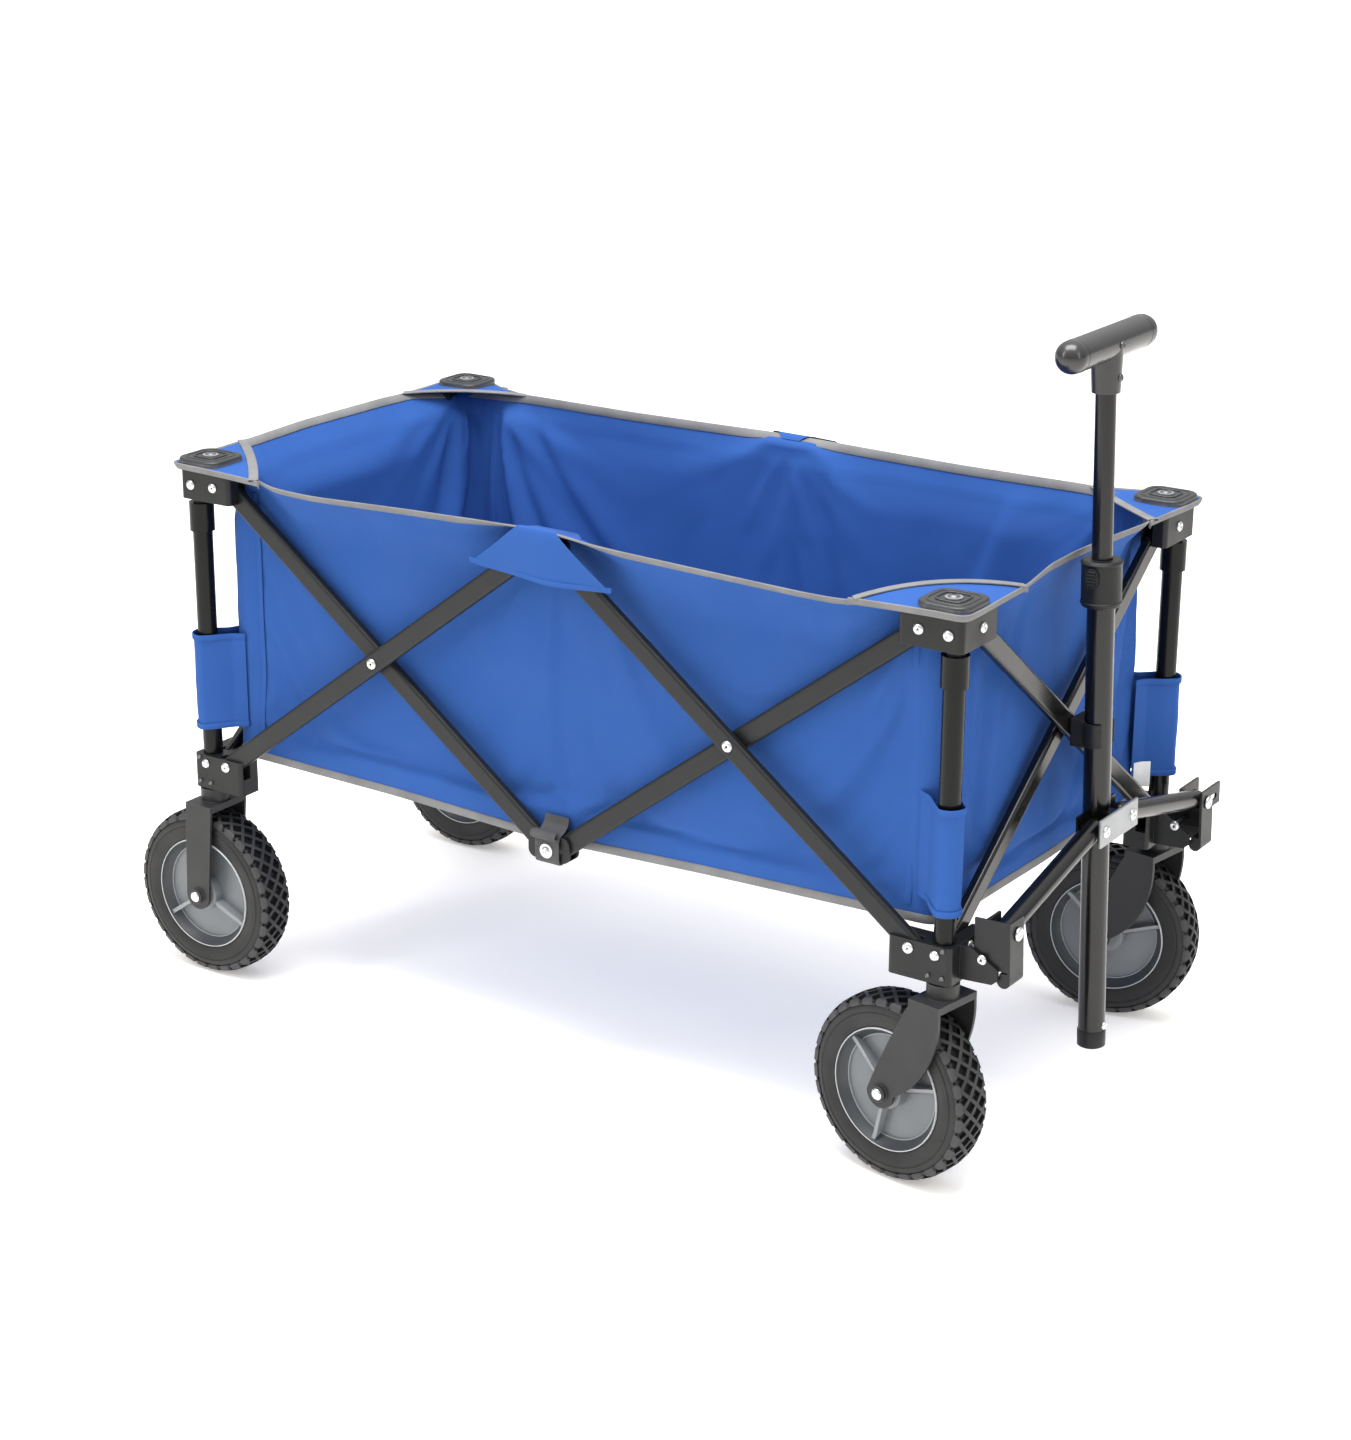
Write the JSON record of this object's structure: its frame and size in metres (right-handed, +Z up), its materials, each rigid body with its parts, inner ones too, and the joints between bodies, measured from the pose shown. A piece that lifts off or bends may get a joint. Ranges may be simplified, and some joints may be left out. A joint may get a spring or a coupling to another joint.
{
  "type": "folding wagon with pull handle",
  "caption": "Folding pull-along wagon: scissor steel frame, blue fabric tub, treaded wheels with swivel casters in front, and a tilting telescopic T-handle.",
  "frame": {"origin": "on the ground, under the middle of the whole wagon", "axes": "+Z up, +X towards the pull handle, +Y to the wagon's left"},
  "size_m": [1.0177, 0.5033, 0.7558],
  "materials": {
    "black_steel": "satin powder coat",
    "glossy_steel": "gloss powder coat",
    "black_plastic": "moulded glass-filled nylon",
    "grey_plastic": "moulded polypropylene",
    "cap_plastic": "fine moulded texture",
    "tyre_rubber": "moulded tread",
    "blue_fabric": "600 denier polyester, coated back",
    "grip_foam": "soft moulded"
  },
  "bodies": {
    "rear_right_base": {"post_rear_right": "black_steel", "bottom_bracket_rear_right": "black_plastic", "fork_rear_right": "black_steel"},
    "rear_right_top": {"top_bracket_rear_right": "black_plastic", "cap_rear_right": "cap_plastic", "tub_wall_right": "blue_fabric", "tub_wall_rear": "blue_fabric"},
    "rear_right_wheel": {"tyre_rear_right": "tyre_rubber", "hub_rear_right": "grey_plastic"},
    "rear_left_base": {"post_rear_left": "black_steel", "bottom_bracket_rear_left": "black_plastic", "fork_rear_left": "black_steel"},
    "rear_left_top": {"top_bracket_rear_left": "black_plastic", "cap_rear_left": "cap_plastic", "tub_wall_left": "blue_fabric"},
    "rear_left_wheel": {"tyre_rear_left": "tyre_rubber", "hub_rear_left": "grey_plastic"},
    "front_right_base": {"post_front_right": "black_steel", "bottom_bracket_front_right": "black_plastic"},
    "front_right_top": {"top_bracket_front_right": "black_plastic", "cap_front_right": "cap_plastic", "tub_wall_front": "blue_fabric"},
    "front_right_wheel": {"tyre_front_right": "tyre_rubber", "hub_front_right": "grey_plastic"},
    "front_right_fork": {"fork_front_right": "black_steel"},
    "front_left_base": {"post_front_left": "black_steel", "bottom_bracket_front_left": "black_plastic"},
    "front_left_top": {"top_bracket_front_left": "black_plastic", "cap_front_left": "cap_plastic"},
    "front_left_wheel": {"tyre_front_left": "tyre_rubber", "hub_front_left": "grey_plastic"},
    "front_left_fork": {"fork_front_left": "black_steel"},
    "bar_rr_outer": {"side_bar_right_rear_outer": "black_steel"},
    "bar_rr_inner": {"side_bar_right_rear_inner": "black_steel"},
    "bar_rf_outer": {"side_bar_right_front_outer": "black_steel"},
    "bar_rf_inner": {"side_bar_right_front_inner": "black_steel"},
    "centre_right_top": {"centre_hinge_right_top": "black_plastic"},
    "centre_right_bottom": {"centre_hinge_right_bottom": "black_plastic"},
    "tilt_bracket_right": {"tilt_bracket_right": "black_steel"},
    "yoke_arm_right": {"yoke_arm_right": "glossy_steel"},
    "floor_right": {"tub_floor_right": "blue_fabric"},
    "bar_lr_outer": {"side_bar_left_rear_outer": "black_steel"},
    "bar_lr_inner": {"side_bar_left_rear_inner": "black_steel"},
    "bar_lf_outer": {"side_bar_left_front_outer": "black_steel"},
    "bar_lf_inner": {"side_bar_left_front_inner": "black_steel"},
    "centre_left_top": {"centre_hinge_left_top": "black_plastic"},
    "centre_left_bottom": {"centre_hinge_left_bottom": "black_plastic"},
    "tilt_bracket_left": {"tilt_bracket_left": "black_steel"},
    "yoke_arm_left": {"yoke_arm_left": "glossy_steel"},
    "floor_left": {"tub_floor_left": "blue_fabric"},
    "bar_rear_outer": {"end_bar_rear_outer": "glossy_steel"},
    "bar_rear_inner": {"end_bar_rear_inner": "glossy_steel"},
    "bar_front_outer": {"end_bar_front_outer": "glossy_steel"},
    "bar_front_inner": {"end_bar_front_inner": "glossy_steel"},
    "handle_lower": {"handle_lower_tube": "glossy_steel", "lock_collar": "black_plastic"},
    "handle_upper": {"handle_upper_tube": "glossy_steel", "grip": "grip_foam"},
    "lock_button": {"lock_button": "black_plastic"},
    "tube_clip": {"tube_clip": "black_plastic"}
  },
  "joints": [
    {"name": "frame_fold", "type": "hinge", "parent": "rear_right_base", "child": "bar_rr_outer", "pos_m": [-0.385, -0.216, 0.234], "axis": [0, -1, 0], "range_deg": [0, 30], "deforming": ["tub_wall_right", "tub_wall_left", "tub_floor_right", "tub_floor_left", "tub_wall_rear", "tub_wall_front"]},
    {"name": "cross_right_rear", "type": "hinge", "parent": "bar_rr_outer", "child": "bar_rr_inner", "pos_m": [-0.1905, -0.216, 0.3815], "axis": [0, 1, 0], "range_deg": [-0.5, 60.5]},
    {"name": "top_pivot_rear_right", "type": "hinge", "parent": "bar_rr_inner", "child": "rear_right_top", "pos_m": [-0.385, -0.216, 0.529], "axis": [0, -1, 0], "range_deg": [-0.5, 30.5]},
    {"name": "hinge_right_bottom_rear", "type": "hinge", "parent": "bar_rr_inner", "child": "centre_right_bottom", "pos_m": [0.004, -0.216, 0.234], "axis": [0, -1, 0], "range_deg": [-0.5, 30.5]},
    {"name": "hinge_right_top_rear", "type": "hinge", "parent": "bar_rr_outer", "child": "centre_right_top", "pos_m": [0.004, -0.216, 0.529], "axis": [0, 1, 0], "range_deg": [-0.5, 30.5]},
    {"name": "hinge_right_bottom_front", "type": "hinge", "parent": "centre_right_bottom", "child": "bar_rf_inner", "pos_m": [0.028, -0.216, 0.234], "axis": [0, -1, 0], "range_deg": [-0.5, 30.5]},
    {"name": "cross_right_front", "type": "hinge", "parent": "bar_rf_inner", "child": "bar_rf_outer", "pos_m": [0.2225, -0.216, 0.3815], "axis": [0, 1, 0], "range_deg": [-0.5, 60.5]},
    {"name": "top_pivot_front_right", "type": "hinge", "parent": "bar_rf_inner", "child": "front_right_top", "pos_m": [0.417, -0.216, 0.529], "axis": [0, 1, 0], "range_deg": [-0.5, 30.5]},
    {"name": "foot_pivot_front_right", "type": "hinge", "parent": "bar_rf_outer", "child": "front_right_base", "pos_m": [0.417, -0.216, 0.234], "axis": [0, -1, 0], "range_deg": [-0.5, 30.5]},
    {"name": "end_pivot_rear_right", "type": "hinge", "parent": "rear_right_base", "child": "bar_rear_inner", "pos_m": [-0.414, -0.1945, 0.234], "axis": [1, 0, 0], "range_deg": [-0.5, 30.5]},
    {"name": "cross_rear", "type": "hinge", "parent": "bar_rear_inner", "child": "bar_rear_outer", "pos_m": [-0.414, 0, 0.3815], "axis": [-1, 0, 0], "range_deg": [-0.5, 60.5]},
    {"name": "top_pivot_rear_left", "type": "hinge", "parent": "bar_rear_inner", "child": "rear_left_top", "pos_m": [-0.414, 0.1945, 0.529], "axis": [-1, 0, 0], "range_deg": [-0.5, 30.5]},
    {"name": "end_pivot_rear_left", "type": "hinge", "parent": "bar_rear_outer", "child": "rear_left_base", "pos_m": [-0.414, 0.1945, 0.234], "axis": [1, 0, 0], "range_deg": [-0.5, 30.5]},
    {"name": "end_pivot_front_right", "type": "hinge", "parent": "front_right_base", "child": "bar_front_inner", "pos_m": [0.446, -0.1945, 0.234], "axis": [1, 0, 0], "range_deg": [-0.5, 30.5]},
    {"name": "cross_front", "type": "hinge", "parent": "bar_front_inner", "child": "bar_front_outer", "pos_m": [0.446, 0, 0.3815], "axis": [-1, 0, 0], "range_deg": [-0.5, 60.5]},
    {"name": "top_pivot_front_left", "type": "hinge", "parent": "bar_front_inner", "child": "front_left_top", "pos_m": [0.446, 0.1945, 0.529], "axis": [-1, 0, 0], "range_deg": [-0.5, 30.5]},
    {"name": "end_pivot_front_left", "type": "hinge", "parent": "bar_front_outer", "child": "front_left_base", "pos_m": [0.446, 0.1945, 0.234], "axis": [1, 0, 0], "range_deg": [-0.5, 30.5]},
    {"name": "foot_pivot_rear_left", "type": "hinge", "parent": "rear_left_base", "child": "bar_lr_outer", "pos_m": [-0.385, 0.216, 0.234], "axis": [0, -1, 0], "range_deg": [-0.5, 30.5]},
    {"name": "cross_left_rear", "type": "hinge", "parent": "bar_lr_outer", "child": "bar_lr_inner", "pos_m": [-0.1905, 0.216, 0.3815], "axis": [0, 1, 0], "range_deg": [-0.5, 60.5]},
    {"name": "hinge_left_top_rear", "type": "hinge", "parent": "bar_lr_outer", "child": "centre_left_top", "pos_m": [0.004, 0.216, 0.529], "axis": [0, 1, 0], "range_deg": [-0.5, 30.5]},
    {"name": "hinge_left_bottom_rear", "type": "hinge", "parent": "bar_lr_inner", "child": "centre_left_bottom", "pos_m": [0.004, 0.216, 0.234], "axis": [0, -1, 0], "range_deg": [-0.5, 30.5]},
    {"name": "foot_pivot_front_left", "type": "hinge", "parent": "front_left_base", "child": "bar_lf_outer", "pos_m": [0.417, 0.216, 0.234], "axis": [0, 1, 0], "range_deg": [-0.5, 30.5]},
    {"name": "cross_left_front", "type": "hinge", "parent": "bar_lf_outer", "child": "bar_lf_inner", "pos_m": [0.2225, 0.216, 0.3815], "axis": [0, -1, 0], "range_deg": [-0.5, 60.5]},
    {"name": "clip_turn", "type": "hinge", "parent": "bar_front_outer", "child": "tube_clip", "pos_m": [0.446, 0, 0.3815], "axis": [1, 0, 0], "range_deg": [-0.5, 30.5]},
    {"name": "floor_fold_right", "type": "hinge", "parent": "rear_right_top", "child": "floor_right", "pos_m": [0.016, -0.1967, 0.245], "axis": [1, 0, 0], "range_deg": [-0.5, 60.5]},
    {"name": "floor_fold_left", "type": "hinge", "parent": "rear_left_top", "child": "floor_left", "pos_m": [0.016, 0.1967, 0.245], "axis": [-1, 0, 0], "range_deg": [-0.5, 60.5]},
    {"name": "handle_tilt", "type": "hinge", "parent": "front_right_base", "child": "tilt_bracket_right", "pos_m": [0.4815, -0.216, 0.2325], "axis": [0, 1, 0], "range_deg": [0, 70], "deforming": ["tube_clip"]},
    {"name": "tilt_left", "type": "hinge", "parent": "front_left_base", "child": "tilt_bracket_left", "pos_m": [0.4815, 0.216, 0.2325], "axis": [0, 1, 0], "range_deg": [-0.5, 70.5]},
    {"name": "arm_right_outer", "type": "hinge", "parent": "tilt_bracket_right", "child": "yoke_arm_right", "pos_m": [0.49446, -0.196, 0.25794], "axis": [0.9995, 0, 0.0332], "range_deg": [-0.5, 53.78]},
    {"name": "arm_right_inner", "type": "hinge", "parent": "yoke_arm_right", "child": "handle_lower", "pos_m": [0.49314, -0.0275, 0.29792], "axis": [-0.9995, 0, -0.0332], "range_deg": [-0.5, 53.78]},
    {"name": "arm_left_inner", "type": "hinge", "parent": "handle_lower", "child": "yoke_arm_left", "pos_m": [0.49314, 0.0275, 0.29792], "axis": [-0.9995, 0, -0.0332], "range_deg": [-0.5, 53.78]},
    {"name": "handle_extend", "type": "slide", "parent": "handle_lower", "child": "handle_upper", "axis": [-0.0332, 0, 0.9995], "range_m": [-0.13, 0.2]},
    {"name": "lock_button_push", "type": "slide", "parent": "handle_lower", "child": "lock_button", "axis": [0, 1, 0], "range_m": [0, 0.0028], "stiffness_N_per_m": 400, "springref_m": -0.002},
    {"name": "caster_swivel_right", "type": "hinge", "parent": "front_right_base", "child": "front_right_fork", "pos_m": [0.446, -0.216, 0.195], "axis": [0, 0, 1], "continuous": true},
    {"name": "wheel_spin_front_right", "type": "hinge", "parent": "front_right_fork", "child": "front_right_wheel", "pos_m": [0.40057, -0.2088, 0.089], "axis": [0.1564, 0.9877, 0], "continuous": true},
    {"name": "caster_swivel_left", "type": "hinge", "parent": "front_left_base", "child": "front_left_fork", "pos_m": [0.446, 0.216, 0.195], "axis": [0, 0, 1], "continuous": true},
    {"name": "wheel_spin_front_left", "type": "hinge", "parent": "front_left_fork", "child": "front_left_wheel", "pos_m": [0.40057, 0.2232, 0.089], "axis": [0.1564, 0.9877, 0], "continuous": true},
    {"name": "wheel_spin_rear_right", "type": "hinge", "parent": "rear_right_base", "child": "rear_right_wheel", "pos_m": [-0.42, -0.216, 0.089], "axis": [0, 1, 0], "continuous": true},
    {"name": "wheel_spin_rear_left", "type": "hinge", "parent": "rear_left_base", "child": "rear_left_wheel", "pos_m": [-0.42, 0.216, 0.089], "axis": [0, 1, 0], "continuous": true}
  ],
  "couplings": [
    {"joint": "cross_right_rear", "follows": "frame_fold", "ratio": 2},
    {"joint": "top_pivot_rear_right", "follows": "frame_fold", "ratio": 1},
    {"joint": "hinge_right_bottom_rear", "follows": "frame_fold", "ratio": 1},
    {"joint": "hinge_right_top_rear", "follows": "frame_fold", "ratio": 1},
    {"joint": "hinge_right_bottom_front", "follows": "frame_fold", "ratio": 1},
    {"joint": "cross_right_front", "follows": "frame_fold", "ratio": 2},
    {"joint": "top_pivot_front_right", "follows": "frame_fold", "ratio": 1},
    {"joint": "foot_pivot_front_right", "follows": "frame_fold", "ratio": 1},
    {"joint": "end_pivot_rear_right", "follows": "frame_fold", "ratio": 1},
    {"joint": "cross_rear", "follows": "frame_fold", "ratio": 2},
    {"joint": "top_pivot_rear_left", "follows": "frame_fold", "ratio": 1},
    {"joint": "end_pivot_rear_left", "follows": "frame_fold", "ratio": 1},
    {"joint": "end_pivot_front_right", "follows": "frame_fold", "ratio": 1},
    {"joint": "cross_front", "follows": "frame_fold", "ratio": 2},
    {"joint": "top_pivot_front_left", "follows": "frame_fold", "ratio": 1},
    {"joint": "end_pivot_front_left", "follows": "frame_fold", "ratio": 1},
    {"joint": "foot_pivot_rear_left", "follows": "frame_fold", "ratio": 1},
    {"joint": "cross_left_rear", "follows": "frame_fold", "ratio": 2},
    {"joint": "hinge_left_top_rear", "follows": "frame_fold", "ratio": 1},
    {"joint": "hinge_left_bottom_rear", "follows": "frame_fold", "ratio": 1},
    {"joint": "foot_pivot_front_left", "follows": "frame_fold", "ratio": 1},
    {"joint": "cross_left_front", "follows": "frame_fold", "ratio": 2},
    {"joint": "clip_turn", "follows": "frame_fold", "ratio": 1},
    {"joint": "floor_fold_right", "follows": "frame_fold", "ratio": 2},
    {"joint": "floor_fold_left", "follows": "frame_fold", "ratio": 2},
    {"joint": "tilt_left", "follows": "handle_tilt", "ratio": 1},
    {"joint": "arm_right_outer", "follows": "frame_fold", "ratio": 1.7759},
    {"joint": "arm_right_inner", "follows": "frame_fold", "ratio": 1.7759},
    {"joint": "arm_left_inner", "follows": "frame_fold", "ratio": 1.7759}
  ]
}
